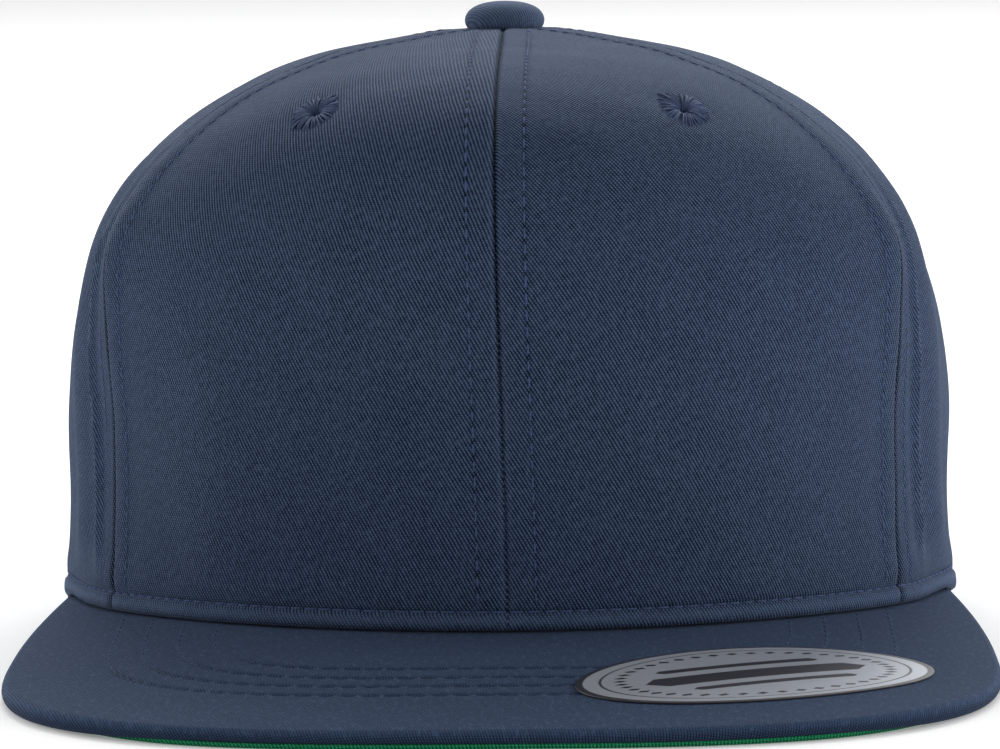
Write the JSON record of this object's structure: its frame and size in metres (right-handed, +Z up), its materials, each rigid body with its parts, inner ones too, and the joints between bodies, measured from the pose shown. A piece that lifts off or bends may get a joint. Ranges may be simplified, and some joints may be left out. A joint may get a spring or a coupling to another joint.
{
  "type": "six-panel cap",
  "caption": "Six-panel cotton twill cap with a tall rounded crown, a stiff flat peak, a covered button and a snap strap at the back.",
  "frame": {"origin": "Middle of the bounding box at its bottom: the cap rests on the plane z = 0 on its rear hem and on the rim of its peak.", "axes": "+Z up. The peak points to -Y and the snap strap is at +Y. +X is the wearer's left. Units are metres in the packed record."},
  "size_m": [0.182, 0.275, 0.1204],
  "materials": {
    "navy_twill": "navy cotton twill, matt, with a fine diagonal rib",
    "green_twill": "green cotton twill, matt",
    "navy_thread": "navy polyester sewing thread, slight sheen",
    "band_cloth": "navy cotton band, matt",
    "strap_plastic": "moulded navy plastic, satin",
    "silver_foil": "brushed silver foil with a dark rim"
  },
  "bodies": {
    "root": {"panel_front_left": "navy_twill", "panel_front_right": "navy_twill", "panel_side_left": "navy_twill", "panel_side_right": "navy_twill", "panel_rear_left": "navy_twill", "panel_rear_right": "navy_twill", "eyelet_front_left": "navy_thread", "eyelet_front_right": "navy_thread", "eyelet_side_left": "navy_thread", "eyelet_side_right": "navy_thread", "eyelet_rear_left": "navy_thread", "eyelet_rear_right": "navy_thread", "button": "navy_twill", "peak": "navy_twill", "under_peak": "green_twill", "sticker": "silver_foil", "sweatband": "band_cloth", "rear_opening_binding": "navy_twill", "snap_strap": "strap_plastic"}
  },
  "joints": []
}
